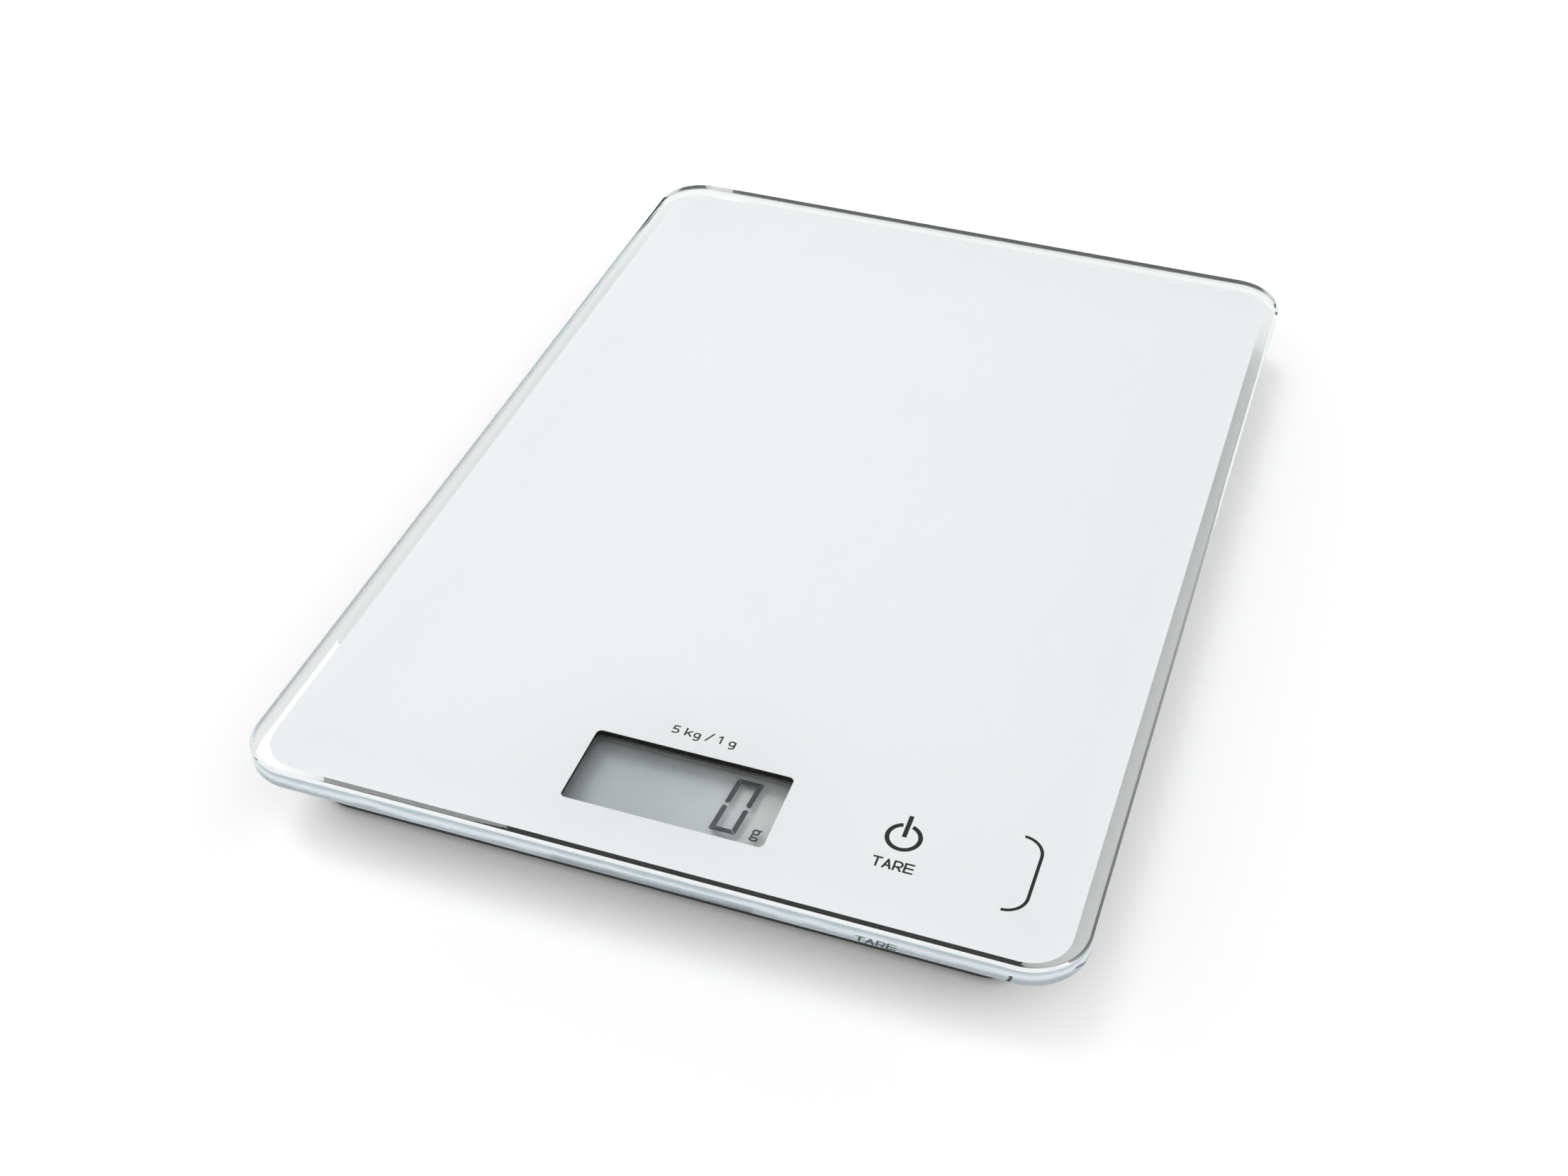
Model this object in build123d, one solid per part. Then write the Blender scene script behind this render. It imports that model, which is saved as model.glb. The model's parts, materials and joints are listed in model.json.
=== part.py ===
from build123d import *
from math import atan2, degrees
import os

# A slim digital kitchen scale: a tempered glass platform bonded to a flat black housing
# that stands on four weighing feet, each one pressing on its own strain-gauge cell.
# Millimetres. Origin: centre of the footprint on the table, +Z up, display towards -Y.

# overall
PLATE_W = 145.0
PLATE_L = 208.0
HEIGHT = 15.0

# glass platform and the enamel printed on its underside
PLATE_T = 4.0
PLATE_R = 10.0
ARRIS = 0.5
PRINT_MARGIN = 2.9
PRINT_MARGIN_NEAR = 3.4
PRINT_T = 0.1
INK_T = 0.04
PRINT_R = PLATE_R - PRINT_MARGIN
GLASS_Z = HEIGHT - PLATE_T
PRINT_Z = GLASS_Z - PRINT_T
INK_Z = GLASS_Z - INK_T

# housing
BASE_W = 126.0
BASE_L = 193.0
BASE_R = 7.0
BASE_Z = 1.5
WALL = 2.0
FLOOR_T = 1.8
TAPE_T = 0.5
BASE_EDGE = 0.3
FLOOR_Z = BASE_Z + FLOOR_T
RIM_Z = PRINT_Z - TAPE_T
RIB_W = 1.2
RIB_Z = FLOOR_Z + 2.2
CROSS_RIB_W = 3.2
CROSS_RIB_Y = (8.0, 50.0)
TAPE_W = 1.7

# weighing feet and cells
CELL_X = 45.0
CELL_Y = 79.0
TRAVEL = 0.4
WELL_R = 13.0
WELL_WALL = 1.4
FOOT_R = 12.4
FOOT_Z = 0.9
FOOT_TOP = 3.6
FOOT_POCKET = 0.7
PAD_R = 10.0
STEM_R = 3.0
STAKE_R = 1.4
CLIP_R = 11.0
CELL_Z = 5.6
CELL_T = 1.6
CELL_TOP = CELL_Z + CELL_T
CELL_R = 12.9
FLEX_R = 11.0
FLEX_TOP = 8.4
WELL_TOP = 10.0
SLOT = 1.2
TONGUE_W = 8.0
GAUGE_T = 0.12

# display window and liquid-crystal cell
WINDOW_W = 35.6
WINDOW_L = 16.7
WINDOW_Y = -83.3
WINDOW_R = 1.0
LCD_W = 42.0
LCD_NEAR = -93.0
LCD_FAR = -70.2
LCD_LEDGE = 3.0
REFLECTOR_Z = 7.0
FILM_T = 0.2
LCD_GLASS_T = 1.0
LCD_GAP = 0.1
REFLECTOR_T = 0.18
SEGMENT_T = 0.08
SEAL_W = 0.8
REAR_GLASS_Z = REFLECTOR_Z + FILM_T
SEGMENT_Z = REAR_GLASS_Z + LCD_GLASS_T
FRONT_GLASS_Z = SEGMENT_Z + LCD_GAP
POLARISER_Z = FRONT_GLASS_Z + LCD_GLASS_T
GASKET_Z = POLARISER_Z + FILM_T

# circuit board
BOARD_W = 56.0
BOARD_NEAR = -93.6
BOARD_FAR = -54.0
BOARD_Z = 5.0
BOARD_T = 1.0
BOARD_TOP = BOARD_Z + BOARD_T
SCREW_X = 25.5
SCREW_Y = (-91.0, -57.0)
SCREW_R = 0.9
SCREW_HEAD_R = 1.9
BOSS_R = 2.2

# touch key under the glass
TOUCH_X = 38.7
TOUCH_Y = -81.8
TOUCH_R = 5.5
FOIL_T = 0.1

# unit button in the floor
BUTTON_X = 17.0
BUTTON_Y = -61.0
BUTTON_R = 2.6
BUTTON_GAP = 0.15
BUTTON_TRAVEL = 0.3
PLUNGER_R = 1.0
PLUNGER_Z = BOARD_Z - 1.5
PLUNGER_TOP = BOARD_Z - 0.55

# coin cell and its door
COIN_R = 10.0
COIN_T = 3.2
COIN_Z = 3.6
COIN_TOP = COIN_Z + COIN_T
COIN_Y = -28.0
COIN_WELL_R = 10.25
COIN_WALL = 1.6
COIN_ROOF_Z = 7.9
PLINTH_TOP = 4.6
DOOR_W = 28.0
DOOR_FREE_Y = COIN_Y - 14.0
DOOR_T = 1.4
DOOR_GAP = 0.2
HINGE_Y = COIN_Y + 12.6
HINGE_Z = BASE_Z + DOOR_T / 2
HINGE_PIN_R = 0.55
HINGE_PIN_LENGTH = 1.2
HINGE_CLEAR = 0.06

# wiring
WIRE_R = 0.4
WIRE_PITCH = 1.0
WIRE_BEND = 1.0
LANE_X = 21.5
LANE_Z = FLOOR_Z + 0.45

# rating label, blank
LABEL_W = 52.0
LABEL_L = 30.0
LABEL_Y = 29.0
LABEL_T = 0.15

CORNERS = {
    "front_left": (-1, -1),
    "front_right": (1, -1),
    "rear_left": (-1, 1),
    "rear_right": (1, 1),
}


def block(x0, x1, y0, y1, z0, z1):
    """Box between two corners."""
    return Pos((x0 + x1) / 2, (y0 + y1) / 2, (z0 + z1) / 2) * Box(x1 - x0, y1 - y0, z1 - z0)


def disc(x, y, radius, z0, z1):
    """Upright cylinder."""
    return Pos(x, y, (z0 + z1) / 2) * Cylinder(radius, z1 - z0)


def slab(width, length, radius, z0, z1, x=0, y=0):
    """Flat plate with rounded corners."""
    return Pos(x, y, z0) * extrude(RectangleRounded(width, length, radius), z1 - z0)


def ring(outer, inner, z0, z1, x=0, y=0):
    """Flat washer."""
    return disc(x, y, outer, z0, z1) - disc(x, y, inner, z0 - 1, z1 + 1)


def edges_at(solid, z):
    """Edges that lie flat at one height."""
    return solid.edges().filter_by_position(Axis.Z, z - 0.001, z + 0.001)


def plan(outline, z0, z1):
    """Plan outline raised into a solid between two heights."""
    return Pos(0, 0, z0) * extrude(outline, z1 - z0, dir=(0, 0, 1))


def wire(points, radius=WIRE_R, bend=WIRE_BEND):
    """Round wire along straight runs joined by arcs."""
    path = FilletPolyline(*points, radius=bend)
    section = Plane(origin=path @ 0, z_dir=path % 0) * Circle(radius)
    return sweep(section, path)


# ---------------------------------------------------------------- glass platform


def glass_plate():
    plate = slab(PLATE_W, PLATE_L, PLATE_R, GLASS_Z, HEIGHT)
    return chamfer(edges_at(plate, GLASS_Z) + edges_at(plate, HEIGHT), ARRIS)


def pen_line(points, width):
    """Straight pen strokes through points, with round joints between them."""
    line = None
    for (x0, y0), (x1, y1) in zip(points, points[1:]):
        run = Vector(x1 - x0, y1 - y0)
        turn = degrees(atan2(run.Y, run.X))
        part = Pos((x0 + x1) / 2, (y0 + y1) / 2) * Rot(0, 0, turn) * Rectangle(run.length, width)
        line = part if line is None else line + part
    for x, y in points[1:-1]:
        line += Pos(x, y) * Circle(width / 2)
    return line


def pen_arc(x, y, radius, start, size, width):
    """Round pen stroke: part of a ring, angles in degrees."""
    outer = CenterArc((x, y), radius + width / 2, start, size)
    inner = CenterArc((x, y), radius - width / 2, start, size)
    return make_face([outer, Line(outer @ 1, inner @ 1), inner, Line(inner @ 0, outer @ 0)])


def pen_oval(x, y, half_w, half_h, width):
    """Closed oval pen stroke."""
    outer = Ellipse(half_w + width / 2, half_h + width / 2)
    return Pos(x, y) * (outer - Ellipse(half_w - width / 2, half_h - width / 2))


def power_symbol():
    """Broken ring with an upright bar in its gap."""
    radius = 2.74
    pen = 0.78
    half_gap = 17
    broken_ring = pen_arc(0, 0, radius, 90 + half_gap, 360 - 2 * half_gap, pen)
    bar = Pos(0, 2.5) * Rectangle(pen, 4.9)
    return [Pos(TOUCH_X, TOUCH_Y) * shape for shape in (broken_ring, bar)]


def letter_t(h, w, pen):
    return Pos(w / 2, h - pen / 2) * Rectangle(w, pen) + Pos(w / 2, h / 2) * Rectangle(pen, h)


def letter_a(h, w, pen):
    legs = pen_line([(pen / 2, 0), (w / 2, h - pen * 0.6), (w - pen / 2, 0)], pen)
    return legs + Pos(w / 2, h * 0.32) * Rectangle(w * 0.56, pen)


def letter_r(h, w, pen):
    bowl = h * 0.26
    right = w - pen / 2 - bowl
    top = h - pen / 2
    waist = top - 2 * bowl
    shape = Pos(pen / 2, h / 2) * Rectangle(pen, h)
    for y in (top, waist):
        shape += Pos(right / 2 + pen / 4, y) * Rectangle(right - pen / 2, pen)
    shape += pen_arc(right, top - bowl, bowl, -90, 180, pen)
    return shape + pen_line([(right - 0.1, waist), (w - pen / 2, 0)], pen)


def letter_e(h, w, pen):
    shape = Pos(pen / 2, h / 2) * Rectangle(pen, h)
    for y in (pen / 2, h / 2, h - pen / 2):
        shape += Pos(w / 2, y) * Rectangle(w, pen)
    return shape


def tare_label():
    """The word TARE below the power symbol, in plain strokes."""
    h = 2.2
    w = 1.65
    pitch = 1.78
    pen = 0.36
    letters = [letter_t, letter_a, letter_r, letter_e]
    return [Pos(35.2 + i * pitch, -89.2) * glyph(h, w, pen) for i, glyph in enumerate(letters)]


def bracket_mark():
    """Bracket near the right edge, open to the left, that frames the touch key."""
    left = 57.3
    right = 60.9
    top = -75.1
    bottom = -91.4
    pen = 0.57
    radius = right - left
    side = Pos(right, (top + bottom) / 2) * Rectangle(pen, top - bottom - 2 * radius)
    upper = pen_arc(left, top - radius, radius, 0, 90, pen)
    lower = pen_arc(left, bottom + radius, radius, -90, 90, pen)
    return [side + upper + lower]


def digit_five(h, w, pen):
    bowl = (h * 0.62 - pen) / 2
    middle = pen / 2 + bowl
    turn_x = w - pen / 2 - bowl
    shape = pen_line([(w - pen * 0.3, h - pen / 2), (pen, h - pen / 2), (pen / 2, middle + bowl)], pen)
    for y in (middle + bowl, pen / 2):
        shape += Pos(turn_x / 2, y) * Rectangle(turn_x, pen)
    return shape + pen_arc(turn_x, middle, bowl, -90, 180, pen)


def digit_one(h, w, pen):
    stem_x = w * 0.6
    flag = pen_line([(w * 0.15, h * 0.76), (stem_x, h - 0.12)], pen)
    return Pos(stem_x, h / 2) * Rectangle(pen, h) + flag


def letter_k(h, w, pen):
    arm = pen_line([(pen / 2, h * 0.25), (w - 0.05, h * 0.7)], pen)
    leg = pen_line([(w * 0.42, h * 0.42), (w, 0)], pen)
    return Pos(pen / 2, h / 2) * Rectangle(pen, h) + arm + leg


def letter_g(h, w, pen):
    bowl = (w - pen) / 2
    tail_y = bowl - h * 0.28
    waist = pen / 2 + bowl
    shape = pen_oval(w / 2, waist, bowl, bowl, pen)
    side_top = waist + bowl
    shape += Pos(w - pen / 2, (side_top + tail_y) / 2) * Rectangle(pen, side_top - tail_y)
    return shape + pen_arc(w / 2, tail_y, bowl, -140, 140, pen)


def slash(h, w, pen):
    return pen_line([(0.1, -0.1), (w - 0.1, h + 0.1)], pen)


def capacity_label():
    """Plain capacity and division marking, 5 kg / 1 g, behind the display."""
    h = 1.9
    w = 1.3
    pen = 0.3
    left = -5.8
    base = -71.5
    glyphs = [digit_five, letter_k, letter_g, slash, digit_one, letter_g]
    offsets = [0, 2.3, 3.9, 6.1, 8.1, 10.3]
    return [Pos(left + x, base) * glyph(h, w, pen) for glyph, x in zip(glyphs, offsets)]


def control_marks():
    """Black print on the glass: symbols and plain function labels."""
    marks = power_symbol() + tare_label() + bracket_mark() + capacity_label()
    return Compound([plan(mark, INK_Z, GLASS_Z) for mark in marks])


def glass_print(marks):
    """White enamel on the glass underside with a clear display window, laid over the black marks."""
    length = PLATE_L - PRINT_MARGIN - PRINT_MARGIN_NEAR
    middle = (PRINT_MARGIN_NEAR - PRINT_MARGIN) / 2
    white = slab(PLATE_W - 2 * PRINT_MARGIN, length, PRINT_R, PRINT_Z, GLASS_Z, y=middle)
    white -= slab(WINDOW_W, WINDOW_L, WINDOW_R, PRINT_Z - 1, GLASS_Z + 1, y=WINDOW_Y)
    for mark in marks.solids():
        white -= mark
    return white


def bonding_tape():
    """Foam tape between the housing and the glass: a ring on the rim, strips on the cross ribs."""
    inset = (WALL - TAPE_W) / 2
    outer = slab(BASE_W - 2 * inset, BASE_L - 2 * inset, BASE_R - inset, RIM_Z, PRINT_Z)
    inner_w = BASE_W - 2 * inset - 2 * TAPE_W
    inner_l = BASE_L - 2 * inset - 2 * TAPE_W
    tape = outer - slab(inner_w, inner_l, BASE_R - inset - TAPE_W, RIM_Z - 1, PRINT_Z + 1)
    strips = []
    for y in CROSS_RIB_Y:
        strips.append(block(-58, 58, y - 1.3, y + 1.3, RIM_Z, PRINT_Z))
    return Compound([tape] + strips)


# ---------------------------------------------------------------- housing


def tray():
    body = slab(BASE_W, BASE_L, BASE_R, BASE_Z, RIM_Z)
    body = fillet(edges_at(body, BASE_Z), BASE_EDGE)
    return body - slab(BASE_W - 2 * WALL, BASE_L - 2 * WALL, BASE_R - WALL, FLOOR_Z, RIM_Z + 1)


def stiffening_ribs():
    """Low ribs on the floor and two tall cross ribs that carry the glass."""
    half_w = BASE_W / 2 - 1
    ribs = []
    for y in CROSS_RIB_Y:
        ribs.append(block(-half_w, half_w, y - CROSS_RIB_W / 2, y + CROSS_RIB_W / 2, FLOOR_Z - 0.5, RIM_Z))
    for x in (-40, -14, 14, 40):
        ribs.append(block(x - RIB_W / 2, x + RIB_W / 2, 8, 92, FLOOR_Z - 0.5, RIB_Z))
    for x in (-40, 40):
        ribs.append(block(x - RIB_W / 2, x + RIB_W / 2, -64, 8, FLOOR_Z - 0.5, RIB_Z))
    for y in (-30, 29, 71):
        for x0, x1 in ((-half_w, -30), (30, half_w)):
            ribs.append(block(x0, x1, y - RIB_W / 2, y + RIB_W / 2, FLOOR_Z - 0.5, RIB_Z))
    return ribs


def foot_well(sx, sy):
    """Closed dome over one cell, open below."""
    return disc(sx * CELL_X, sy * CELL_Y, WELL_R + WELL_WALL, BASE_Z + 0.9, WELL_TOP)


def foot_well_cut(sx, sy):
    """Hollow of one well, with the room above the cell and the notch for its wires."""
    x = sx * CELL_X
    y = sy * CELL_Y
    hollow = disc(x, y, WELL_R, 0, CELL_TOP) + disc(x, y, FLEX_R, CELL_TOP - 0.1, FLEX_TOP)
    notch_x = sorted((sx * (CELL_X - WELL_R - WELL_WALL - 1), sx * (CELL_X - FLEX_R + 2)))
    return hollow + block(notch_x[0], notch_x[1], y + 3.2, y + 6.8, CELL_TOP, FLEX_TOP)


def battery_plinth():
    """Raised block around the coin cell and the door recess."""
    near = DOOR_FREE_Y - 3.0
    far = HINGE_Y + 4.0
    plinth = slab(DOOR_W + 7, far - near, 2, BASE_Z + 0.5, PLINTH_TOP, y=(near + far) / 2)
    return plinth + disc(0, COIN_Y, COIN_WELL_R + COIN_WALL, BASE_Z + 0.5, COIN_ROOF_Z + 1.3)


def battery_cut():
    """Coin well, door recess, hinge holes, finger notch and the slots for the two contacts."""
    half_w = DOOR_W / 2
    recess = block(-half_w, half_w, DOOR_FREE_Y, HINGE_Y + 1.0, 0, BASE_Z + DOOR_T + 0.1)
    coin = disc(0, COIN_Y, COIN_WELL_R, BASE_Z, COIN_ROOF_Z)
    pin_span = half_w + HINGE_PIN_LENGTH
    bore = Pos(0, HINGE_Y, HINGE_Z) * Rot(0, 90, 0) * Cylinder(HINGE_PIN_R + HINGE_CLEAR, 2 * pin_span)
    nail = Pos(0, DOOR_FREE_Y - 0.5, BASE_Z) * scale(Sphere(4.5), by=(1.25, 0.75, 0.28))
    slot_out = COIN_WELL_R + COIN_WALL + 1
    side_slot = block(COIN_WELL_R - 0.6, slot_out, COIN_Y - 5, COIN_Y + 5, COIN_Z, COIN_TOP + 0.3)
    rear_y = COIN_Y + COIN_WELL_R - 1
    rear_slot = block(-3.2, 3.2, rear_y, COIN_Y + slot_out, COIN_TOP + 0.2, COIN_ROOF_Z)
    return [recess, coin, bore, nail, side_slot, rear_slot]


def board_bosses():
    return [disc(sx * SCREW_X, y, BOSS_R, FLOOR_Z - 0.5, BOARD_Z) for sx in (-1, 1) for y in SCREW_Y]


def base_housing():
    """Moulded black tray with wells, battery bay, bosses and ribs."""
    body = tray()
    for rib in stiffening_ribs():
        body += rib
    body += battery_plinth()
    for boss in board_bosses():
        body += boss
    for sx, sy in CORNERS.values():
        body += foot_well(sx, sy)
    body -= block(-LANE_X - 3, -LANE_X + 3, 0, 60, FLOOR_Z, RIB_Z + 0.5)
    body -= block(LANE_X - 3, LANE_X + 3, 0, 60, FLOOR_Z, RIB_Z + 0.5)
    for sx, sy in CORNERS.values():
        body -= foot_well_cut(sx, sy)
    for cut in battery_cut():
        body -= cut
    for sx in (-1, 1):
        for y in SCREW_Y:
            body -= disc(sx * SCREW_X, y, SCREW_R + 0.03, BASE_Z + 1.0, BOARD_Z + 1)
    body -= disc(BUTTON_X, BUTTON_Y, BUTTON_R + BUTTON_GAP, 0, FLOOR_Z + 1)
    body -= disc(BUTTON_X, BUTTON_Y, BUTTON_R + 1.2, BASE_Z + 1.0, FLOOR_Z + 1)
    body -= slab(LABEL_W, LABEL_L, 2, BASE_Z - 1, BASE_Z + LABEL_T, y=LABEL_Y)
    return body


def rating_label():
    return slab(LABEL_W - 0.4, LABEL_L - 0.4, 1.8, BASE_Z, BASE_Z + LABEL_T, y=LABEL_Y)


# ---------------------------------------------------------------- weighing feet


def load_cell(sx, sy):
    """Stamped steel cell: a rim held in the well and a tongue that the foot presses."""
    plate = disc(0, 0, CELL_R, CELL_Z, CELL_TOP)
    reach = 5.5
    root = -8.0
    half = TONGUE_W / 2
    for side in (-1, 1):
        x0, x1 = sorted((side * half, side * (half + SLOT)))
        plate -= block(x0, x1, root, reach, CELL_Z - 1, CELL_TOP + 1)
    plate -= block(-half - SLOT, half + SLOT, reach - SLOT, reach, CELL_Z - 1, CELL_TOP + 1)
    plate -= disc(0, 0, STAKE_R + 0.05, CELL_Z - 1, CELL_TOP + 1)
    turn = 90 if sx > 0 else -90
    return Pos(sx * CELL_X, sy * CELL_Y, 0) * Rot(0, 0, turn) * plate


def strain_gauges():
    """Foil gauges glued on each tongue near its root."""
    gauges = []
    for sx, sy in CORNERS.values():
        x = sx * (CELL_X + 5.2)
        y = sy * CELL_Y
        gauges.append(block(x - 1.6, x + 1.6, y - 2.8, y + 2.8, CELL_TOP, CELL_TOP + GAUGE_T))
    return Compound(gauges)


def cell_clips():
    """Rings pressed into the wells, which hold the cells up and stop an overloaded foot."""
    bottom = FOOT_TOP + TRAVEL + 0.05
    clips = []
    for sx, sy in CORNERS.values():
        clips.append(ring(WELL_R - 0.03, CLIP_R, bottom, CELL_Z, sx * CELL_X, sy * CELL_Y))
    return Compound(clips)


def foot(sx, sy):
    """Foot disc with a stem staked through the cell's tongue."""
    body = disc(0, 0, FOOT_R, FOOT_Z, FOOT_TOP)
    body = fillet(edges_at(body, FOOT_Z), 0.4)
    body -= disc(0, 0, PAD_R + 0.05, FOOT_Z - 1, FOOT_Z + FOOT_POCKET)
    body -= ring(FOOT_R - 1.4, STEM_R + 1.2, FOOT_TOP - 1.0, FOOT_TOP + 1)
    body += disc(0, 0, STEM_R, FOOT_TOP - 1.5, CELL_Z)
    body += disc(0, 0, STAKE_R, CELL_Z - 0.5, CELL_TOP + 0.5)
    body += disc(0, 0, STAKE_R + 0.8, CELL_TOP, CELL_TOP + 0.6)
    return Pos(sx * CELL_X, sy * CELL_Y, 0) * body


def foot_pad(sx, sy):
    """Rubber disc under a foot, with a raised ring and a dished middle."""
    pad = disc(0, 0, PAD_R, 0, FOOT_Z + FOOT_POCKET)
    pad = fillet(edges_at(pad, 0), 0.35)
    pad -= disc(0, 0, PAD_R * 0.55, -1, 0.3)
    pad -= ring(PAD_R * 0.78, PAD_R * 0.72, -1, 0.25)
    return Pos(sx * CELL_X, sy * CELL_Y, 0) * pad


# ---------------------------------------------------------------- display


def lcd_plate(near, far, z0, z1, inset=0.0):
    return block(-LCD_W / 2 + inset, LCD_W / 2 - inset, near + inset, far - inset, z0, z1)


def rear_far():
    return LCD_FAR - LCD_LEDGE


def lcd_reflector():
    return lcd_plate(LCD_NEAR, rear_far(), REFLECTOR_Z, REFLECTOR_Z + REFLECTOR_T, 0.4)


def lcd_rear_glass():
    return lcd_plate(LCD_NEAR, rear_far(), REAR_GLASS_Z, SEGMENT_Z)


def lcd_seal():
    """Glue line around the liquid-crystal layer."""
    outer = lcd_plate(LCD_NEAR, rear_far(), SEGMENT_Z, FRONT_GLASS_Z, 0.2)
    return outer - lcd_plate(LCD_NEAR, rear_far(), SEGMENT_Z - 1, FRONT_GLASS_Z + 1, 0.2 + SEAL_W)


def lcd_front_glass():
    return lcd_plate(LCD_NEAR, LCD_FAR, FRONT_GLASS_Z, POLARISER_Z)


def lcd_polariser():
    return lcd_plate(LCD_NEAR, LCD_FAR - 1.4, POLARISER_Z, GASKET_Z, 0.4)


def digit_zero():
    """Seven-segment zero, leaning right: six lit segments with hairline gaps at the mitres."""
    width = 4.62
    height = 12.35
    pen = 0.9
    lean = 0.93
    gap = 0.09

    def at(x, y):
        return (x + lean * y / height, y)

    def bar(points):
        return make_face(Polyline(*[at(x, y) for x, y in points], close=True))

    half = height / 2
    bars = []
    for y0, way in ((0, 1), (height, -1)):
        near = y0 + way * pen
        bars.append(bar([(gap, y0), (width - gap, y0), (width - pen - gap, near), (pen + gap, near)]))
        low = y0 + way * gap
        middle = y0 + way * (half - 0.22)
        short = y0 + way * (half - 0.62)
        for x0, side in ((0, 1), (width, -1)):
            inner = x0 + side * pen
            tip = x0 + side * pen * 0.4
            outside = [(x0, low), (x0, short + way * 0.1), (tip, middle)]
            inside = [(inner, short), (inner, low + way * pen)]
            bars.append(bar(outside + inside))
    return bars


def unit_letter():
    """Two-storey letter g beside the digit."""
    pen = 0.33
    letter = pen_oval(0.78, 2.04, 0.51, 0.5, pen) + pen_oval(0.8, 0.52, 0.64, 0.36, pen)
    letter += pen_arc(0.6, 1.22, 0.33, 100, 170, pen)
    return letter + pen_line([(1.2, 2.38), (1.66, 2.6)], pen)


def lcd_segments():
    """The shapes that the display shows at rest: zero grams."""
    digit = [Pos(7.07, -87.98) * face for face in digit_zero()]
    shapes = digit + [Pos(14.1, -88.35) * unit_letter()]
    return Compound([plan(shape, SEGMENT_Z, SEGMENT_Z + SEGMENT_T) for shape in shapes])


def lcd_frame():
    """Plastic frame that holds the display and the rubber connector on the board."""
    wall = 0.7
    play = 0.1
    half = LCD_W / 2
    side = half + wall + play
    frame = block(-side, side, LCD_NEAR - wall, LCD_FAR + wall, BOARD_TOP, GASKET_Z)
    frame -= block(-half - play, half + play, LCD_NEAR - play, LCD_FAR + play, REAR_GLASS_Z, GASKET_Z + 1)
    frame -= lcd_plate(LCD_NEAR, rear_far(), REFLECTOR_Z, REAR_GLASS_Z + 1, 0.35)
    frame -= lcd_plate(LCD_NEAR, rear_far(), 0, REFLECTOR_Z + 1, 1.6)
    frame -= block(-half + 1.4, half - 1.4, rear_far() + 0.4, LCD_FAR - 0.6, 0, REAR_GLASS_Z + 1)
    for sx in (-1, 1):
        frame += disc(sx * (half + 0.2), LCD_FAR + wall - 0.7, 0.7, BOARD_Z - 0.3, BOARD_TOP + 0.5)
    return frame


def zebra_strip():
    """Conductive rubber strip between the board and the display's contact ledge."""
    return block(-19.4, 19.4, rear_far() + 0.5, LCD_FAR - 0.8, BOARD_TOP, FRONT_GLASS_Z)


def window_gasket():
    """Black foam frame that closes the gap between the display and the printed window."""
    gasket = slab(WINDOW_W + 5.2, WINDOW_L + 2.6, 0.8, GASKET_Z, PRINT_Z, y=WINDOW_Y - 0.1)
    return gasket - slab(WINDOW_W + 0.7, WINDOW_L + 0.7, 1.2, GASKET_Z - 1, PRINT_Z + 1, y=WINDOW_Y)


# ---------------------------------------------------------------- electronics


def circuit_board():
    middle = (BOARD_NEAR + BOARD_FAR) / 2
    board = slab(BOARD_W, BOARD_FAR - BOARD_NEAR, 1.5, BOARD_Z, BOARD_TOP, y=middle)
    for sx in (-1, 1):
        for y in SCREW_Y:
            board -= disc(sx * SCREW_X, y, SCREW_R + 0.2, 0, 20)
        board -= disc(sx * (LCD_W / 2 + 0.2), LCD_FAR, 0.75, 0, 20)
    return board


def board_screws():
    """Four thread-forming screws that hold the board on its bosses."""
    screws = []
    for sx in (-1, 1):
        for y in SCREW_Y:
            x = sx * SCREW_X
            head = disc(x, y, SCREW_HEAD_R, BOARD_TOP, BOARD_TOP + 1.1)
            head = fillet(edges_at(head, BOARD_TOP + 1.1), 0.5)
            for turn in (0, 90):
                head -= Pos(x, y, BOARD_TOP + 0.9) * Rot(0, 0, turn) * Box(2.2, 0.45, 0.8)
            screws.append(head + disc(x, y, SCREW_R, BASE_Z + 1.2, BOARD_TOP + 0.1))
    return Compound(screws)


def controller_chip():
    """Epoxy cap over the bonded controller die."""
    cap = disc(-5, -61, 4.6, BOARD_TOP, BOARD_TOP + 1.2)
    return fillet(edges_at(cap, BOARD_TOP + 1.2), 1.1)


def amplifier_chip():
    """Small gull-wing package that reads the strain gauges."""
    body = block(5.2, 9.2, -63.6, -58.6, BOARD_TOP + 0.15, BOARD_TOP + 1.5)
    body = chamfer(edges_at(body, BOARD_TOP + 1.5), 0.25)
    legs = []
    for side in (-1, 1):
        for i in range(4):
            y = -63.0 + 1.27 * i
            x0, x1 = sorted((7.2 + side * 1.9, 7.2 + side * 3.0))
            legs.append(block(x0, x1, y - 0.2, y + 0.2, BOARD_TOP, BOARD_TOP + 0.3))
    for leg in legs:
        body += leg
    return body


def chip_capacitors():
    """Ceramic capacitors and resistors, soldered flat."""
    spots = [(-14, -60), (-14, -63), (-17.5, -60), (-17.5, -63)]
    spots += [(0.5, -57), (3.2, -57), (12.3, -57), (-10.5, -57)]
    parts = []
    for x, y in spots:
        parts.append(block(x - 1.0, x + 1.0, y - 0.6, y + 0.6, BOARD_TOP, BOARD_TOP + 0.7))
    return Compound(parts)


def crystal():
    """Quartz crystal can lying on the board."""
    can = slab(8.0, 3.4, 1.6, BOARD_TOP, BOARD_TOP + 2.0, x=-18.0, y=-66.8)
    return fillet(edges_at(can, BOARD_TOP + 2.0), 0.5)


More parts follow.
